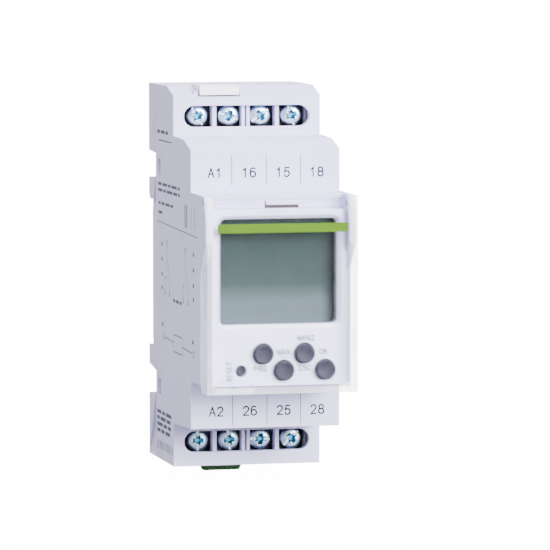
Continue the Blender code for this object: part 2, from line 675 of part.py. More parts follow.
def cover_parts():
    """Walls behind the cover's plate, the hinge barrel and its two pins."""
    plate_back = COVER_Y[1] - PLATE_ROOT
    skirt = [(plate_back, SKIRT_TOP[0]), (COVER_Y[2], SKIRT_TOP[1]),
             (COVER_Y[2], COVER_Z[0]), (plate_back, COVER_Z[0])]
    for side in (-1, 1):
        skirt_x = sorted((side * (COVER_HALF - SKIRT_THICK), side * COVER_HALF))
        yield prism("skirt", "X", skirt_x, skirt)
        pin_x = sorted((side * (BARREL_HALF - PIN_ROOT), side * PIN_END))
        yield rod("pin", "X", pin_x, HINGE, PIN_RADIUS, 16)
    floor_z = (COVER_Z[0], COVER_Z[0] + COVER_WALL)
    yield box("floor", (-COVER_HALF, COVER_HALF), (plate_back, COVER_Y[2]), floor_z)
    across = (-BARREL_HALF, BARREL_HALF)
    yield box("roof", across, (plate_back, ROOF_BACK), (COVER_Z[1] - ROOF_THICK, COVER_Z[1]))
    yield rod("barrel", "X", across, HINGE, BARREL_RADIUS, 16)
    yield box("web", across, (plate_back, WEB_BACK), WEB_Z)


def clear_cover():
    """Flip-up cover: front plate, side and bottom walls, hinged along its upper edge."""
    cover = box("cover", (-COVER_HALF, COVER_HALF), COVER_Y[:2], COVER_Z)
    join(cover, *cover_parts())
    slot_y = (COVER_Y[1], HINGE[0] - BARREL_RADIUS - GAP)
    cut(cover, box("thumb_slot", (-THUMB_SLOT, THUMB_SLOT), slot_y, (HINGE[1] - OVERSHOOT, TOP)))
    return finish(cover, "clear_cover", "clear", (0.0, HINGE[0], HINGE[1]))


def transformer():
    """Laminated core with its four corners stepped back."""
    core = box("transformer", CORE_X, CORE_Y, CORE_Z)
    for side in CORE_X:
        for z in CORE_STEP_Z:
            cut(core, box("corner", (side - CORE_STEP, side + CORE_STEP), CORE_STEP_Y, z))
    return finish(core, "transformer", "steel")


def boards():
    finish(box("board", (-BOARD_HALF, BOARD_HALF), MAIN_BOARD_Y, MAIN_BOARD_Z), "main_board", "board")
    link_y = (DISPLAY_BOARD_Y[1] + GAP, MAIN_BOARD_Y[0] - GAP)
    finish(box("link", LINK_X, link_y, LINK_Z), "board_link", "dark")
    for number, x in enumerate(RELAY_X, 1):
        finish(box("relay", x, RELAY_Y, RELAY_Z), f"relay_{number}", "relay")
    transformer()
    capacitor = rod("capacitor", "Y", CAPACITOR_Y, CAPACITOR_AT, CAPACITOR_RADIUS)
    finish(capacitor, "capacitor", "dark", smooth=True)


def build():
    clear_scene()
    housing_shell()
    rear_base()
    rail_clip()
    clip_spring()
    terminals()
    terminal_screws()
    battery_module()
    front_panel()
    keys()
    display()
    clear_cover()
    boards()


build()
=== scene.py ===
import json
import math

import bmesh
import bpy
from mathutils import Matrix, Vector


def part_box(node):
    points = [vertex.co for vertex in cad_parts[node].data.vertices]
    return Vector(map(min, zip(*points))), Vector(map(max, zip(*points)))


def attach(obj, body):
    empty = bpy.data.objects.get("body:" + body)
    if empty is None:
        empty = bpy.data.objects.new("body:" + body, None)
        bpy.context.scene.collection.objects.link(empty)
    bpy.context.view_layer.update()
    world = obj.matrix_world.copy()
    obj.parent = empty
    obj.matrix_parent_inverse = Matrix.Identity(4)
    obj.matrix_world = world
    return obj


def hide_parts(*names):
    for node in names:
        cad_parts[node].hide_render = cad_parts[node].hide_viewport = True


MM = 0.001
CLEAR_OF_FACE = 0.01  # printed marks lie this far in front of their face, mm
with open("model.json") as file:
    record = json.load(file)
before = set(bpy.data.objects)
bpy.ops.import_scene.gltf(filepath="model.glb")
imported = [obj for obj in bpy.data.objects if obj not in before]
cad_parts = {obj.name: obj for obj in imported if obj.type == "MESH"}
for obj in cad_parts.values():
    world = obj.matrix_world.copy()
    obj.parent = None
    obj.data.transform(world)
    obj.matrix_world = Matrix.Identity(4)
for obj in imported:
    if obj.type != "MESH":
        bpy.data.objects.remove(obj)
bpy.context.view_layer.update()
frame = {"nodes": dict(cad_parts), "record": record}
nodes = frame["nodes"]


# ---------------------------------------------------------------- materials
NOISE_LOW, NOISE_HIGH = 0.3, 0.7  # a noise texture seldom leaves this range
BEVEL_SAMPLES = 6


class Tree:
    """Short calls for building one material's nodes."""

    def __init__(self, name):
        self.material = bpy.data.materials.new(name)
        self.material.use_nodes = True
        self.tree = self.material.node_tree
        self.tree.nodes.clear()
        self.out = self.node("ShaderNodeOutputMaterial")
        self.coords = self.node("ShaderNodeTexCoord").outputs["Object"]

    def node(self, kind, **values):
        made = self.tree.nodes.new(kind)
        for key, value in values.items():
            setattr(made, key, value)
        return made

    def put(self, socket, value):
        if isinstance(value, bpy.types.NodeSocket):
            self.tree.links.new(value, socket)
        else:
            socket.default_value = value

    def noise(self, size_mm, detail=3.0, stretch=None):
        made = self.node("ShaderNodeTexNoise")
        where = self.coords
        if stretch:
            mapping = self.node("ShaderNodeMapping")
            mapping.inputs["Scale"].default_value = stretch
            self.put(mapping.inputs["Vector"], where)
            where = mapping.outputs["Vector"]
        self.put(made.inputs["Vector"], where)
        made.inputs["Scale"].default_value = 1.0 / (size_mm * MM)
        made.inputs["Detail"].default_value = detail
        return made.outputs["Fac"]

    def between(self, factor, low, high):
        made = self.node("ShaderNodeMapRange")
        self.put(made.inputs["Value"], factor)
        made.inputs["From Min"].default_value = NOISE_LOW
        made.inputs["From Max"].default_value = NOISE_HIGH
        made.inputs["To Min"].default_value = low
        made.inputs["To Max"].default_value = high
        return made.outputs["Result"]

    def along(self, coordinate, span_mm, kind="LINEAR"):
        """0 at the first and 1 at the second of two places along one axis, in mm."""
        made = self.node("ShaderNodeMapRange", interpolation_type=kind)
        self.put(made.inputs["Value"], coordinate)
        made.inputs["From Min"].default_value = span_mm[0] * MM
        made.inputs["From Max"].default_value = span_mm[1] * MM
        return made.outputs["Result"]

    def ramp(self, factor, stops):
        made = self.node("ShaderNodeValToRGB")
        self.put(made.inputs["Fac"], factor)
        elements = made.color_ramp.elements
        while len(elements) < len(stops):
            elements.new(0.5)
        for element, (place, colour) in zip(elements, stops):
            element.position = place
            element.color = (*colour, 1.0)
        return made.outputs["Color"]

    def mix(self, factor, a, b, blend="MIX"):
        made = self.node("ShaderNodeMix", data_type="RGBA", blend_type=blend)
        self.put(made.inputs[0], factor)
        self.put(made.inputs[6], a if isinstance(a, bpy.types.NodeSocket) else (*a, 1.0))
        self.put(made.inputs[7], b if isinstance(b, bpy.types.NodeSocket) else (*b, 1.0))
        return made.outputs[2]

    def calculate(self, operation, first, second=0.0):
        made = self.node("ShaderNodeMath", operation=operation)
        self.put(made.inputs[0], first)
        self.put(made.inputs[1], second)
        return made.outputs[0]

    def blend(self, factor, first, second):
        """Mix of two shaders."""
        made = self.node("ShaderNodeMixShader")
        self.put(made.inputs[0], factor)
        self.put(made.inputs[1], first)
        self.put(made.inputs[2], second)
        return made.outputs["Shader"]

    def normal(self, height, depth_mm, edge_mm=0.0):
        made = self.node("ShaderNodeBump")
        made.inputs["Strength"].default_value = 1.0
        made.inputs["Distance"].default_value = depth_mm * MM
        self.put(made.inputs["Height"], height)
        if edge_mm:
            bevel = self.node("ShaderNodeBevel", samples=BEVEL_SAMPLES)
            bevel.inputs["Radius"].default_value = edge_mm * MM
            self.put(made.inputs["Normal"], bevel.outputs["Normal"])
        return made.outputs["Normal"]

    def shader(self, colour, roughness, normal, **values):
        made = self.node("ShaderNodeBsdfPrincipled")
        self.put(made.inputs["Base Color"], colour)
        self.put(made.inputs["Roughness"], roughness)
        self.put(made.inputs["Normal"], normal)
        for key, value in values.items():
            made.inputs[key.replace("_", " ")].default_value = value
        self.put(self.out.inputs["Surface"], made.outputs["BSDF"])
        return made


def shade(colour, factor):
    return tuple(min(1.0, c * factor) for c in colour)


def moulded(name, colour, roughness=0.45, spread=0.03, grain=0.22, depth=0.012, edge=0.35, **values):
    """Spark-eroded plastic: a fine even grain, slow drift in tone, and edges worn a little smoother."""
    t = Tree(name)
    drift = t.noise(9.0, 2.0)
    grained = t.noise(grain, 4.0)
    tone = t.mix(t.between(drift, 0.0, 1.0), shade(colour, 1 - spread), shade(colour, 1 + spread))
    tone = t.mix(t.between(grained, 0.0, 0.25), tone, t.mix(1.0, tone, (0.93, 0.93, 0.94), "MULTIPLY"))
    rough = t.between(grained, roughness - 0.06, roughness + 0.08)
    t.shader(tone, rough, t.normal(grained, depth, edge), **values)
    return t.material


def metal(name, colour, roughness=0.28, spread=0.08, brush=(1.0, 1.0, 1.0), edge=0.15):
    """Plated or rolled metal: fine drawn scratches and a mottled tone."""
    t = Tree(name)
    mottle = t.noise(1.6, 4.0)
    scratch = t.noise(0.35, 5.0, brush)
    tone = t.mix(t.between(mottle, 0.0, 1.0), shade(colour, 1 - spread), shade(colour, 1 + spread))
    rough = t.between(scratch, roughness - 0.1, roughness + 0.12)
    t.shader(tone, rough, t.normal(scratch, 0.006, edge), Metallic=1.0)
    return t.material


def ink(name, colour):
    """Pad-printed ink, slightly uneven in density."""
    t = Tree(name)
    cover = t.noise(0.3, 3.0)
    tone = t.mix(t.between(cover, 0.0, 1.0), shade(colour, 0.9), shade(colour, 1.12))
    t.shader(tone, t.between(cover, 0.4, 0.6), t.normal(cover, 0.004), Specular_IOR_Level=0.08)
    return t.material


# Painted reflection: over this span (mm) the display's own grey-green runs from paler at the bottom to dark
# at the top.
DISPLAY_REFLECTION_Z = (-9.9, 17.1)
DISPLAY_TONES_WITH_REFLECTION = [
    (0.0, (0.075, 0.098, 0.112)), (0.27, (0.068, 0.090, 0.100)), (0.42, (0.030, 0.044, 0.044)),
    (0.62, (0.024, 0.037, 0.036)), (1.0, (0.013, 0.022, 0.021)),
]
# Painted shade: over this span (mm) the display darkens to near black towards its right edge.
DISPLAY_SHADE_X = (10.0, 13.8)
DISPLAY_SHADE_TONE = (0.004, 0.004, 0.006)


def display():
    """Reflective display: grey-green cell under a smooth polariser, with a painted reflection that makes it
    paler towards its lower edge and painted shade along its right edge.
    """
    t = Tree("display")
    split = t.node("ShaderNodeSeparateXYZ")
    t.put(split.inputs["Vector"], t.coords)
    # painted reflection: paler towards the bottom, darker at the top
    tone = t.ramp(t.along(split.outputs["Z"], DISPLAY_REFLECTION_Z), DISPLAY_TONES_WITH_REFLECTION)
    cloud = t.noise(3.0, 3.0)
    tone = t.mix(t.between(cloud, 0.0, 0.25), tone, t.mix(1.0, tone, (0.86, 0.88, 0.88), "MULTIPLY"))
    fine = t.noise(0.12, 3.0)
    # painted shade towards the right edge
    tone = t.mix(t.along(split.outputs["X"], DISPLAY_SHADE_X, "SMOOTHSTEP"), tone, DISPLAY_SHADE_TONE)
    t.shader(tone, t.between(fine, 0.16, 0.26), t.normal(fine, 0.002, 0.3), Specular_IOR_Level=0.12)
    return t.material


STRAIGHT_THROUGH = 0.72  # share of each ray that the thin sheet doesn't bend
SKIRT_X = (15.9, 16.5)
SKIRT_Z = (-21.9, -22.5)


def clear():
    """Clear moulded polycarbonate. Lamps shine through it; its skirts get a whitish diffuse mix, a painted
    highlight standing in for the bright edges of the clear plastic.
    """
    t = Tree("clear")
    flow = t.noise(5.0, 3.0, (1.0, 1.0, 0.4))
    fine = t.noise(0.5, 3.0)
    tone = t.mix(t.between(flow, 0.0, 1.0), (0.965, 0.975, 0.985), (0.99, 0.995, 1.0))
    body = t.shader(tone, t.between(fine, 0.004, 0.02), t.normal(flow, 0.003, 0.25), IOR=1.46,
                    Transmission_Weight=1.0, Specular_IOR_Level=0.35)
    through = t.node("ShaderNodeBsdfTransparent")
    through.inputs["Color"].default_value = (0.95, 0.955, 0.96, 1.0)
    share = t.node("ShaderNodeMapRange")
    t.put(share.inputs["Value"], t.node("ShaderNodeLightPath").outputs["Is Shadow Ray"])
    share.inputs["To Min"].default_value = STRAIGHT_THROUGH
    sheet = t.blend(share.outputs["Result"], body.outputs["BSDF"], through.outputs["BSDF"])

    split = t.node("ShaderNodeSeparateXYZ")
    t.put(split.inputs["Vector"], t.coords)
    wide = t.calculate("ABSOLUTE", split.outputs["X"])
    skirts = t.calculate("MAXIMUM", t.along(wide, SKIRT_X), t.along(split.outputs["Z"], SKIRT_Z))
    # Painted highlight: a whitish diffuse shader mixed into the skirts stands in for the light the clear
    # edges pipe and reflect.
    painted_edge_highlight = t.node("ShaderNodeBsdfPrincipled")
    painted_edge_highlight.inputs["Base Color"].default_value = (0.92, 0.92, 1.0, 1.0)
    painted_edge_highlight.inputs["Roughness"].default_value = 0.3
    highlight_share = t.calculate("MULTIPLY", skirts, t.between(flow, 0.22, 0.34))
    t.put(t.out.inputs["Surface"], t.blend(highlight_share, sheet, painted_edge_highlight.outputs["BSDF"]))
    return t.material


def board():
    """Solder mask over copper, with the tracks showing as paler lines."""
    t = Tree("board")
    brick = t.node("ShaderNodeTexBrick")
    t.put(brick.inputs["Vector"], t.coords)
    brick.inputs["Scale"].default_value = 220.0
    brick.inputs["Mortar Size"].default_value = 0.03
    brick.inputs["Color1"].default_value = (0.03, 0.20, 0.08, 1)
    brick.inputs["Color2"].default_value = (0.025, 0.16, 0.07, 1)
    brick.inputs["Mortar"].default_value = (0.07, 0.34, 0.15, 1)
    fine = t.noise(0.4, 4.0)
    tone = t.mix(t.between(fine, 0.0, 0.3), brick.outputs["Color"], (0.02, 0.12, 0.05))
    t.shader(tone, t.between(fine, 0.3, 0.5), t.normal(brick.outputs["Fac"], 0.03, 0.2))
    return t.material


def laminated():
    """Stacked steel sheets: bands across Y with slightly different tones."""
    t = Tree("laminated")
    wave = t.node("ShaderNodeTexWave", bands_direction="Y")
    t.put(wave.inputs["Vector"], t.coords)
    wave.inputs["Scale"].default_value = 300.0
    wave.inputs["Distortion"].default_value = 0.3
    fine = t.noise(0.5, 4.0)
    tone = t.mix(wave.outputs["Fac"], (0.10, 0.10, 0.11), (0.34, 0.34, 0.35))
    tone = t.mix(t.between(fine, 0.0, 0.4), tone, (0.16, 0.13, 0.10))
    t.shader(tone, t.between(fine, 0.35, 0.6), t.normal(wave.outputs["Fac"], 0.05, 0.2), Metallic=0.8)
    return t.material


CASING = (0.56, 0.54, 0.80)
looks = {
    "casing": moulded("casing", CASING),
    "base": moulded("base", shade(CASING, 0.97), 0.5),
    # Painted light: the panel is given a lighter tone than the casing to make up for the shade the clear
    # cover casts over it.
    "panel": moulded("panel", (0.72, 0.70, 0.96), 0.4, grain=0.16, depth=0.008, edge=0.25),
    "key": moulded("key", (0.026, 0.024, 0.040), 0.62, 0.08, 0.14, 0.01, 0.3, Specular_IOR_Level=0.15),
    "dark": moulded("dark", (0.010, 0.012, 0.022), 0.4, 0.15, Specular_IOR_Level=0.25),
    "green": moulded("green", (0.030, 0.150, 0.026), 0.42, 0.07),
    "white": moulded("white", (0.84, 0.84, 0.92), 0.35, 0.02, edge=0.3),
    "relay": moulded("relay", (0.72, 0.30, 0.06), 0.35, 0.06),
    "zinc": metal("zinc", (0.60, 0.76, 0.86), 0.36, 0.05),
    "brass": metal("brass", (0.72, 0.53, 0.26), 0.33, brush=(1, 1, 8)),
    "steel": metal("steel", (0.62, 0.63, 0.65), 0.25),
    # Painted shade: a deeper cyan copy of the plating for the faces inside the screws' cross recess.
    "zinc_recess_shade": metal("zinc_recess_shade", (0.10, 0.33, 0.47), 0.35),
    "laminated": laminated(), "board": board(), "display": display(), "clear": clear(),
}
# Painted shade: a dark grey for the casing's walls deep inside the screw openings.
looks["shaded_slot_end"] = moulded("shaded_slot_end", (0.11, 0.10, 0.14))
# Painted shadow: a dark brown strip, drawn with the ink shader, where the cover's thumb slot is shaded.
looks["slot_shadow"] = ink("slot_shadow", (0.050, 0.034, 0.036))
legend = ink("legend", (0.03, 0.03, 0.045))
label = ink("label", (0.02, 0.02, 0.03))
side_ink = ink("side_ink", (0.07, 0.07, 0.11))
stripe_ink = ink("stripe_ink", (0.052, 0.12, 0.0))

# ---------------------------------------------------------------- CAD nodes carried over
slots = {s["node"]: s["material_slot"] for s in frame["record"]["subparts"]}
special = {"transformer": "laminated"}
for name, obj in nodes.items():
    obj.data.materials.clear()
    obj.data.materials.append(looks[special.get(name, slots[name])])


# ---------------------------------------------------------------- shapes
def add(name, mesh, look, body, smooth=None):
    obj = bpy.data.objects.new(name, mesh)
    bpy.context.scene.collection.objects.link(obj)
    mesh.materials.clear()
    mesh.materials.append(look)
    if smooth is not None:
        mesh.shade_smooth()
        mesh.set_sharp_from_angle(angle=math.radians(smooth))
    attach(obj, body)
    return obj


def mesh_from(name, vertices, faces):
    bm = bmesh.new()
    made = [bm.verts.new(Vector(v) * MM) for v in vertices]
    for face in faces:
        bm.faces.new([made[i] for i in face])
    bmesh.ops.recalc_face_normals(bm, faces=bm.faces)
    mesh = bpy.data.meshes.new(name)
    bm.to_mesh(mesh)
    bm.free()
    return mesh


def boxes(name, spans):
    """One mesh of several separate boxes, each ((x0, x1), (y0, y1), (z0, z1)) in mm."""
    vertices, faces = [], []
    for x, y, z in spans:
        n = len(vertices)
        vertices += [(a, b, c) for a in x for b in y for c in z]
        for f in ((0, 1, 3, 2), (4, 6, 7, 5), (0, 4, 5, 1), (2, 3, 7, 6), (0, 2, 6, 4), (1, 5, 7, 3)):
            faces.append([n + i for i in f])
    return mesh_from(name, vertices, faces)


def lathe(name, profile, sides=48):
    """Solid of (radius, y) points turned about the Y axis, closed at both ends."""
    vertices, faces = [], []
    rings = []
    for radius, y in profile:
        if radius == 0:
            rings.append([len(vertices)])
            vertices.append((0.0, y, 0.0))
            continue
        rings.append(list(range(len(vertices), len(vertices) + sides)))
        for i in range(sides):
            a = math.tau * i / sides
            vertices.append((radius * math.cos(a), y, radius * math.sin(a)))
    for r, s in zip(rings, rings[1:]):
        for i in range(sides):
            j = (i + 1) % sides
            quad = [r[i % len(r)], r[j % len(r)], s[j % len(s)], s[i % len(s)]]
            face = list(dict.fromkeys(quad))
            if len(face) > 2:
                faces.append(face)
    return mesh_from(name, vertices, faces)


def stroke_quads(points, width):
    """Quads of one line of the given width through 2-D points."""
    quads = []
    for a, b in zip(points, points[1:]):
        a, b = Vector(a), Vector(b)
        along = (b - a).normalized() * width / 2
        side = Vector((-along.y, along.x))
        quads.append([a - along + side, b + along + side, b + along - side, a - along - side])
    return quads


def bar(u0, u1, v0, v1):
    return [(u0, v0), (u1, v0), (u1, v1), (u0, v1)]


def flat_print(name, quads, place, look, body):
    """Printed marks: each quad in 2-D, laid on a surface by place(u, v)."""
    vertices, faces = [], []
    for quad in quads:
        n = len(vertices)
        vertices += [place(p[0], p[1]) for p in quad]
        faces.append(list(range(n, n + len(quad))))
    return add(name, mesh_from(name, vertices, faces), look, body)


def arc(cx, cy, rx, ry, start, end, steps=10):
    angles = [math.radians(start + (end - start) * i / steps) for i in range(steps + 1)]
    return [(cx + rx * math.cos(a), cy + ry * math.sin(a)) for a in angles]


# Each sign is a few open lines on a field 0.6 wide and 1 high; signs stand 0.82 apart.
SIGN_WIDTH = 0.6
SIGN_STEP = 0.82
GLYPHS = {
    "1": [[(0.1, 0.76), (0.22, 0.82), (0.33, 1.0), (0.33, 0.0)]],
    "2": [arc(0.3, 0.72, 0.26, 0.28, 165, -35) + [(0.04, 0.0), (0.58, 0.0)]],
    "5": [[(0.53, 1.0), (0.14, 1.0), (0.07, 0.5)] + arc(0.29, 0.31, 0.27, 0.32, 125, -155, 14)],
    "6": [[(0.5, 0.93)] + arc(0.32, 0.66, 0.28, 0.34, 75, 180, 6)
          + arc(0.31, 0.31, 0.27, 0.31, 180, 540, 18)],
    "8": [arc(0.3, 0.76, 0.22, 0.24, 0, 360, 16), arc(0.3, 0.27, 0.27, 0.27, 0, 360, 18)],
    "A": [[(0.0, 0.0), (0.3, 1.0), (0.6, 0.0)], [(0.11, 0.36), (0.49, 0.36)]],
    "C": [arc(0.33, 0.5, 0.31, 0.5, 50, 310, 16)],
    "E": [[(0.55, 1.0), (0.06, 1.0), (0.06, 0.0), (0.57, 0.0)], [(0.06, 0.52), (0.5, 0.52)]],
    "G": [arc(0.33, 0.5, 0.31, 0.5, 50, 330, 16) + [(0.6, 0.45), (0.36, 0.45)]],
    "K": [[(0.07, 0.0), (0.07, 1.0)], [(0.57, 1.0), (0.07, 0.38)], [(0.24, 0.59), (0.6, 0.0)]],
    "M": [[(0.0, 0.0), (0.0, 1.0), (0.32, 0.12), (0.64, 1.0), (0.64, 0.0)]],
    "N": [[(0.05, 0.0), (0.05, 1.0), (0.55, 0.0), (0.55, 1.0)]],
    "O": [arc(0.32, 0.5, 0.31, 0.5, 0, 360, 20)],
    "P": [[(0.07, 0.0), (0.07, 1.0), (0.33, 1.0)] + arc(0.33, 0.74, 0.23, 0.26, 90, -90, 8)
          + [(0.07, 0.48)]],
    "R": [[(0.07, 0.0), (0.07, 1.0), (0.33, 1.0)] + arc(0.33, 0.75, 0.22, 0.25, 90, -90, 8) + [(0.07, 0.5)],
          [(0.33, 0.5), (0.58, 0.0)]],
    "S": [arc(0.3, 0.75, 0.23, 0.25, 40, 270, 10) + arc(0.3, 0.25, 0.25, 0.25, 90, -140, 10)],
    "T": [[(0.0, 1.0), (0.6, 1.0)], [(0.3, 1.0), (0.3, 0.0)]],
}


def text(name, words, centre, height, weight, look, upright=False, widen=1.15):
    """Printed signs facing the front, centred on (x, y, z) mm, that high, with lines that thick."""
    length = SIGN_STEP * (len(words) - 1) + SIGN_WIDTH
    quads = []
    for i, sign in enumerate(words):
        start = i * SIGN_STEP - length / 2
        for line in GLYPHS[sign]:
            points = [((u + start) * height * widen, (v - 0.5) * height) for u, v in line]
            if upright:
                points = [(-v, u) for u, v in points]
            quads += stroke_quads(points, weight)

    def place(u, v):
        return (centre[0] + u, centre[1] - CLEAR_OF_FACE, centre[2] + v)

    return flat_print(name, quads, place, look, "casing")


def carve(obj, tool_mesh):
    """Cuts a closed mesh out of obj."""
    tool = bpy.data.objects.new("tool", tool_mesh)
    bpy.context.scene.collection.objects.link(tool)
    cutter = obj.modifiers.new("cut", "BOOLEAN")
    cutter.object = tool
    graph = bpy.context.evaluated_depsgraph_get()
    result = bpy.data.meshes.new_from_object(obj.evaluated_get(graph))
    obj.modifiers.clear()
    obj.data = result
    bpy.data.objects.remove(tool)


# ---------------------------------------------------------------- terminal screws
HEAD_SIDES = 40
HEAD_EDGE = (0.75, 1.55)  # straight part of the head's edge, behind the front
THREAD_OUTER, THREAD_INNER = 1.45, 1.2
THREAD_START, THREAD_PITCH, THREAD_TIP = 2.3, 0.7, 0.9
SLOT_DEPTH, SLOT_HALF = 0.62, 0.3
CROSS = (1.7, 0.7, 1.15, 0.35)  # half length, half width, depth and taper of each arm
TICK = (1.0, 0.2, 0.6, 0.7)
# Faces within this radius and between these depths behind the head's front take the recess's painted shade.
RECESS_SHADE_RADIUS = 1.5
RECESS_SHADE_DEPTHS = (0.08, 1.3)
CUTTER_LEAD = 0.5
SCREW_SMOOTH = 38
ANGLES = {"A1": 58, "16": 20, "15": -35, "18": 72, "A2": 90, "26": 84, "25": 3, "28": -42}


def tapered_bar(length, width, depth, shrink, front):
    """Wedge-shaped cutter for one arm of the cross recess."""
    start, end = front - CUTTER_LEAD, front + depth
    vertices = []
    for scale, y in ((1.0, start), (shrink, end)):
        for sign_x, sign_z in ((-1, -1), (1, -1), (1, 1), (-1, 1)):
            vertices.append((sign_x * length * scale, y, sign_z * width * scale))
    faces = [(0, 1, 2, 3), (4, 5, 6, 7), (0, 1, 5, 4), (1, 2, 6, 5), (2, 3, 7, 6), (3, 0, 4, 7)]
    return mesh_from("cutter", vertices, faces)


def screw_profile(radius, front, back):
    """Domed head, then a threaded shank as a row of rings."""
    profile = [(0, front), (radius * 0.45, front + 0.02), (radius * 0.72, front + 0.12),
               (radius * 0.9, front + 0.34), (radius, front + HEAD_EDGE[0]), (radius, front + HEAD_EDGE[1]),
               (radius - 0.15, front + 1.8), (THREAD_OUTER, front + 1.85)]
    y = front + THREAD_START
    while y < back - THREAD_TIP:
        profile += [(THREAD_OUTER, y), (THREAD_INNER, y + 0.2)]
        profile += [(THREAD_INNER, y + 0.3), (THREAD_OUTER, y + 0.5)]
        y += THREAD_PITCH
    return profile + [(1.3, back - 0.2), (1.0, back), (0, back)]


def screw(mark, angle):
    """Combined-slot head screw in place of the plain CAD one, turned to its own angle."""
    node = f"screw_{mark}"
    low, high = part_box(node)
    front, back = low.y / MM, high.y / MM
    radius = (high.x - low.x) / MM / 2
    profile = screw_profile(radius, front, back)
    obj = add(node + "_head", lathe(node, profile, HEAD_SIDES), looks["zinc"], node)
    carve(obj, boxes("slot", [((-3, 3), (front - 1, front + SLOT_DEPTH), (-SLOT_HALF, SLOT_HALF))]))
    for shape, turns in ((CROSS, (0, 90)), (TICK, (45, 135))):
        for turn in turns:
            tool = tapered_bar(*shape, front)
            tool.transform(Matrix.Rotation(math.radians(turn), 4, "Y"))
            carve(obj, tool)
    obj.data.materials.clear()
    obj.data.materials.append(looks["zinc"])
    obj.data.materials.append(looks["zinc_recess_shade"])
    # faces inside the cross recess get the darker zinc: painted shade in the hollow
    for face in obj.data.polygons:
        place = face.center / MM
        behind = place.y - front
        in_shaded_recess = RECESS_SHADE_DEPTHS[0] < behind < RECESS_SHADE_DEPTHS[1]
        face.material_index = int(in_shaded_recess and math.hypot(place.x, place.z) < RECESS_SHADE_RADIUS)
    centre = (low + high) / 2
    spin = Matrix.Rotation(math.radians(angle), 4, "Y")
    obj.data.transform(Matrix.Translation(Vector((centre.x, 0, centre.z))) @ spin)
    obj.data.shade_smooth()
    obj.data.set_sharp_from_angle(angle=math.radians(SCREW_SMOOTH))
    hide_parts(node)


for mark, angle in ANGLES.items():
    screw(mark, angle)

# ---------------------------------------------------------------- end walls of the screw openings, coloured in painted shade
END_WALL_X = ((-15.15, -14.75), (14.35, 15.15))
END_WALL_Y = (-22.0, -19.7)
END_WALL_Z = (35.4, 41.8)
for row, sign in (("upper", 1), ("lower", -1)):
    z = sorted(sign * place for place in END_WALL_Z)
    ends = boxes("ends", [(x, END_WALL_Y, z) for x in END_WALL_X])
    add(f"{row}_slot_end_walls", ends, looks["shaded_slot_end"], "casing")

# ---------------------------------------------------------------- keys
KEY_SEAT = -54.9  # front of the flange, just behind the panel
KEY_FLANGE_THICK = 0.8
KEY_STEM = 0.6
KEY_SIDES = 56
KEY_SMOOTH = 40


def key_top(cap, front, flat):
    """Profile of the cap's face: nearly flat on the reset key, dished on the others."""
    if flat:
        return [(0, front + 0.18), (0.45, front + 0.16), (cap - 0.3, front + 0.05), (cap - 0.12, front)]
    return [(0, front + 0.42), (cap * 0.35, front + 0.38), (cap * 0.6, front + 0.24),
            (cap - 0.55, front + 0.04), (cap - 0.35, front)]


def key(name, rim, flat=False):
    """Key in place of the plain CAD one; its flange is wider than its cap by the rim."""
    low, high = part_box(name)
    front, back = low.y / MM, high.y / MM
    flange = (high.x - low.x) / MM / 2
    cap = flange - rim
    flange_back = KEY_SEAT + KEY_FLANGE_THICK
    profile = key_top(cap, front, flat)
    profile += [(cap - 0.1, front + 0.08), (cap, front + 0.3), (cap, KEY_SEAT), (flange, KEY_SEAT),
                (flange, flange_back), (cap * KEY_STEM, flange_back), (cap * KEY_STEM, back), (0, back)]
    obj = add(name + "_cap", lathe(name, profile, KEY_SIDES), looks["key"], name, KEY_SMOOTH)
    centre = (low + high) / 2
    obj.data.transform(Matrix.Translation(Vector((centre.x, 0, centre.z))))
    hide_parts(name)


for name in ("key_prg", "key_man", "key_esc", "key_ok"):
    key(name, 0.4)
key("key_reset", 0.7, flat=True)

# ---------------------------------------------------------------- front legends
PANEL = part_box("front_panel")[0].y / MM
LEGEND_WEIGHT = 0.21
for name, words, x, z, height in (
    ("legend_prg", "PRG", -4.5, -18.05, 1.15), ("legend_man", "MAN", 1.1, -14.3, 1.15),
    ("legend_man2", "MAN2", 6.35, -11.1, 1.1), ("legend_esc", "ESC", 6.15, -18.0, 1.15),
    ("legend_ok", "OK", 10.5, -14.3, 1.15),
):
    text(name, words, (x, PANEL, z), height, LEGEND_WEIGHT, legend)
text("legend_reset", "RESET", (-11.75, PANEL, -18.6), 1.15, 0.2, legend, upright=True, widen=1.0)
flat_print("legend_dash", [bar(0.1, 2.0, -15.5, -15.35)],
           lambda u, v: (u, PANEL - CLEAR_OF_FACE, v), legend, "casing")

# ---------------------------------------------------------------- terminal marks on the two tiers
TIER = -42.9
MARK_HEIGHT, MARK_WEIGHT, MARK_WIDEN = 2.05, 0.31, 1.1
DIVIDER_WEIGHT = 0.16
for z, marks in (
    (26.4, (("A1", -12.0), ("16", -3.9), ("15", 4.2), ("18", 12.3))),
    (-29.3, (("A2", -11.75), ("26", -3.7), ("25", 4.4), ("28", 12.5))),
):
    for words, x in marks:
        place = (x, TIER, z)
        text(f"mark_{words}", words, place, MARK_HEIGHT, MARK_WEIGHT, label, widen=MARK_WIDEN)
lines = []
for places, span in (((-8.0, 0.2, 8.4), (23.6, 30.5)), ((-7.84, 0.39, 8.47), (-32.5, -23.0))):
    for x in places:
        lines += stroke_quads([(x, z) for z in span], DIVIDER_WEIGHT)
flat_print("tier_dividers", lines, lambda u, v: (u, TIER - CLEAR_OF_FACE, v), label, "casing")

# ---------------------------------------------------------------- green stripe printed inside the cover
STRIPE_Y = -59.27
flat_print("cover_stripe", [bar(-15.05, 15.7, 13.5, 15.6)],
           lambda u, v: (u, STRIPE_Y, v), stripe_ink, "cover")

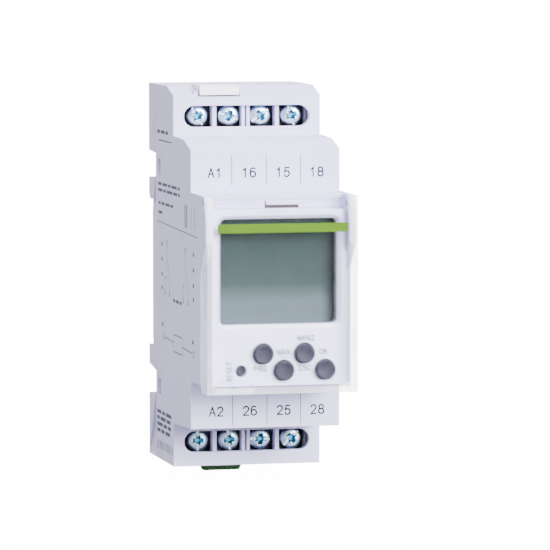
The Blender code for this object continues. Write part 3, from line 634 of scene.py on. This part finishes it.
# ---------------------------------------------------------------- painted shadow along the lower edge of the thumb slot
SLOT_SHADOW_Y = -59.25
SLOT_SHADOW = [bar(-4.05, 3.95, 19.2, 19.95), bar(-4.05, -3.7, 19.95, 20.9)]
flat_print("thumb_slot_edge", SLOT_SHADOW, lambda u, v: (u, SLOT_SHADOW_Y, v), looks["slot_shadow"], "cover")


# ---------------------------------------------------------------- side print, generic
SIDE_X = -17.806
THIN, FINE, LINE, HEAVY = 0.22, 0.24, 0.26, 0.28  # line weights
DASH_GAP = 0.9


def side(u, v):
    """u runs from the rail towards the front, as read on the left side."""
    return (SIDE_X, -u, v)


def ring(u, v, radius, width, steps=20):
    points = [(u + radius * math.cos(math.tau * i / steps), v + radius * math.sin(math.tau * i / steps))
              for i in range(steps + 1)]
    return stroke_quads(points, width)


def dashes(u, v, widths, height=0.7):
    """A line of plain dashes where small print would be."""
    quads = []
    for width in widths:
        quads.append(bar(u, u + width, v, v + height))
        u += width + DASH_GAP
    return quads


def paragraph(u, v, pitch, rows, height=0.7):
    quads = []
    for row, widths in enumerate(rows):
        quads += dashes(u, v - pitch * row, widths, height)
    return quads


def contact(u, v):
    """Changeover contact, drawn with its three ends and its moving arm."""
    quads = stroke_quads([(u, v + 5.2), (u, v + 1.6), (u + 2.6, v - 2.2)], HEAVY)
    quads += stroke_quads([(u - 2.4, v - 5.6), (u - 2.4, v - 2.6), (u - 1.0, v - 2.6)], HEAVY)
    quads += stroke_quads([(u + 2.8, v - 5.6), (u + 2.8, v - 2.9)], HEAVY)
    for a, b in ((u, v + 5.8), (u - 2.4, v - 6.2), (u + 2.8, v - 6.2)):
        quads += ring(a, b, 0.55, FINE)
    return quads


def upper_print():
    quads = [bar(7.1, 22.0, 32.2, 32.5)]
    quads += dashes(5.6, 34.0, (3.2, 4.4, 3.0), 0.8)
    quads += paragraph(6.5, 21.6, 1.5, ((4.0, 5.5, 3.0, 6.0, 2.5), (5.0, 3.0, 6.5, 4.5, 2.0)))
    quads += dashes(7.0, 17.0, (2.5, 3.5, 5.0, 3.0))
    quads += dashes(7.0, 14.8, (4.4,))
    quads += [bar(u, u + 0.9, 13.4, 18.7) for u in (36.4, 38.2)]
    quads += [bar(u, u + 0.35, 13.7, 18.6) for u in (43.4, 46.9)]
    return quads + stroke_quads([(5.5, 12.9), (50.8, 11.9)], THIN)


def contact_print():
    """Two changeover contacts with a dash beside each end, where their marks would be."""
    quads = contact(16.6, 2.6) + contact(37.0, 2.2)
    for v in (7.2, 3.6, 0.0, -3.2):
        quads += dashes(10.2, v, (1.4,), 0.9)
        quads += dashes(45.2, v, (1.4,), 0.9)
    return quads + dashes(23.4, -5.2, (2.4, 3.0, 2.2), 0.8)


def supply_print():
    """The supply: a box between two round ends."""
    quads = stroke_quads([(14.2, -14.4), (24.0, -14.8)], LINE)
    quads += stroke_quads([(33.5, -15.0), (44.4, -15.4)], LINE)
    quads += stroke_quads([(24.0, -12.9), (33.5, -12.9), (33.5, -16.9), (24.0, -16.9), (24.0, -12.9)], LINE)
    for u, v in ((12.6, -14.3), (46.0, -15.5)):
        quads += ring(u, v, 0.7, LINE)
    return quads + dashes(10.7, -12.0, (1.6,), 0.9) + dashes(44.4, -13.2, (1.6,), 0.9)


BARS, BAR_PITCH, BAR_Z = 26, 0.68, (-41.9, -39.9)
BAR_WIDTHS = (0.18, 0.34, 0.24, 0.42)


def lower_print():
    """Small print and a block of bars that holds no code."""
    rows = ((5.0, 3.4, 6.2), (3.0, 6.0, 4.6), (6.5, 4.0, 3.6), (4.0, 3.6, 5.5))
    quads = paragraph(4.8, -33.4, 1.5, rows, 0.9)
    u = 4.8
    for i in range(BARS):
        if i % 5 != 3:
            quads.append(bar(u, u + BAR_WIDTHS[(i * 7) % len(BAR_WIDTHS)], *BAR_Z))
        u += BAR_PITCH
    return quads


side_quads = upper_print() + contact_print() + supply_print() + lower_print()
flat_print("side_print", side_quads, side, side_ink, "casing")

# ---------------------------------------------------------------- seal lug of the clear cover
LUG_OUTLINE = [(-15.8, -23.4), (-6.2, -23.4), (-6.6, -21.6), (-8.6, -20.4), (-12.6, -20.2), (-15.2, -21.2)]
LUG_Y = (-59.2, -57.4)
LUG_HOLE = (-11.0, -21.9)
LUG_HOLE_RADIUS = 0.8
LUG_HOLE_Y = (-60, -57)


def lug():
    """Low tab with a hole for the seal's wire."""
    sides = len(LUG_OUTLINE)
    vertices = [(x, y, z) for y in LUG_Y for x, z in LUG_OUTLINE]
    faces = [list(range(sides)), list(reversed(range(sides, 2 * sides)))]
    for i in range(sides):
        j = (i + 1) % sides
        faces.append([i, i + sides, j + sides, j])
    obj = add("cover_seal_lug", mesh_from("lug", vertices, faces), looks["clear"], "cover")
    start, end = LUG_HOLE_Y
    hole = lathe("hole", [(0, start), (LUG_HOLE_RADIUS, start), (LUG_HOLE_RADIUS, end), (0, end)], 24)
    hole.transform(Matrix.Translation(Vector((LUG_HOLE[0], 0.0, LUG_HOLE[1])) * MM))
    carve(obj, hole)
    rounded = obj.modifiers.new("rounded", "BEVEL")
    rounded.width = 0.35 * MM
    rounded.segments = 3


lug()

# ---------------------------------------------------------------- floor, light, camera
FLOOR_Z = -0.0489
FLOOR_REACH = 30
FLOOR_TONE = (0.17, 0.17, 0.175)
FLOOR_GLOW = 15.0
WORLD_LIGHT = 0.8
WORLD_SEEN = 16.0


def floor_look():
    """Pale paper that the camera sees as lit from behind."""
    t = Tree("floor")
    cloud = t.noise(900.0, 2.0)
    tone = t.mix(t.between(cloud, 0.0, 1.0), shade(FLOOR_TONE, 0.99), FLOOR_TONE)
    body = t.shader(tone, t.between(cloud, 0.85, 0.95), t.normal(cloud, 0.01))
    light = t.node("ShaderNodeEmission")
    light.inputs["Color"].default_value = (1.0, 1.0, 1.0, 1.0)
    light.inputs["Strength"].default_value = FLOOR_GLOW
    glowing = t.node("ShaderNodeAddShader")
    t.put(glowing.inputs[0], body.outputs["BSDF"])
    t.put(glowing.inputs[1], light.outputs["Emission"])
    to_camera = t.node("ShaderNodeLightPath").outputs["Is Camera Ray"]
    seen = t.blend(to_camera, body.outputs["BSDF"], glowing.outputs["Shader"])
    t.put(t.out.inputs["Surface"], seen)
    return t.material


def stage():
    bm = bmesh.new()
    for x, y in ((-1, -1), (1, -1), (1, 1), (-1, 1)):
        bm.verts.new((x * FLOOR_REACH, y * FLOOR_REACH, FLOOR_Z))
    bm.faces.new(bm.verts)
    mesh = bpy.data.meshes.new("floor")
    bm.to_mesh(mesh)
    bm.free()
    mesh.materials.append(floor_look())
    floor = bpy.data.objects.new("floor", mesh)
    bpy.context.scene.collection.objects.link(floor)


def surroundings():
    """Soft white all round, brighter where the camera sees it directly."""
    world = bpy.data.worlds.new("studio")
    bpy.context.scene.world = world
    world.use_nodes = True
    tree = world.node_tree
    tree.nodes.clear()
    lit = tree.nodes.new("ShaderNodeBackground")
    lit.inputs["Color"].default_value = (0.98, 0.98, 1.0, 1)
    lit.inputs["Strength"].default_value = WORLD_LIGHT
    seen = tree.nodes.new("ShaderNodeBackground")
    seen.inputs["Strength"].default_value = WORLD_SEEN
    path = tree.nodes.new("ShaderNodeLightPath")
    pick = tree.nodes.new("ShaderNodeMixShader")
    output = tree.nodes.new("ShaderNodeOutputWorld")
    tree.links.new(path.outputs["Is Camera Ray"], pick.inputs[0])
    tree.links.new(lit.outputs[0], pick.inputs[1])
    tree.links.new(seen.outputs[0], pick.inputs[2])
    tree.links.new(pick.outputs[0], output.inputs[0])


def sun(name, azimuth, elevation, strength, softness):
    """Lamp from azimuth degrees round from the front towards the right, at that height."""
    lamp = bpy.data.lights.new(name, "SUN")
    lamp.energy = strength
    lamp.angle = math.radians(softness)
    obj = bpy.data.objects.new(name, lamp)
    a, e = math.radians(azimuth), math.radians(elevation)
    towards = Vector((math.sin(a) * math.cos(e), -math.cos(a) * math.cos(e), math.sin(e)))
    obj.rotation_euler = towards.to_track_quat("Z", "Y").to_euler()
    bpy.context.scene.collection.objects.link(obj)


stage()
surroundings()
sun("key_light", 30, 19, 11.6, 28)
sun("top_light", 10, 76, 8.6, 40)
sun("fill_light", -72, 20, 1.9, 60)

YAW, PITCH, REACH = math.radians(-13.372), math.radians(4.765), 1.0618
AIM = Vector((6.879, -23.7, 0.734)) * MM
LENS = 292.65


def take_from_front_left():
    data = bpy.data.cameras.new("camera")
    data.lens = LENS
    camera = bpy.data.objects.new("camera", data)
    bpy.context.scene.collection.objects.link(camera)
    away = Vector((math.sin(YAW) * math.cos(PITCH), -math.cos(YAW) * math.cos(PITCH), math.sin(PITCH)))
    camera.location = AIM + away * REACH
    camera.rotation_euler = away.to_track_quat("Z", "Y").to_euler()
    bpy.context.scene.camera = camera


take_from_front_left()
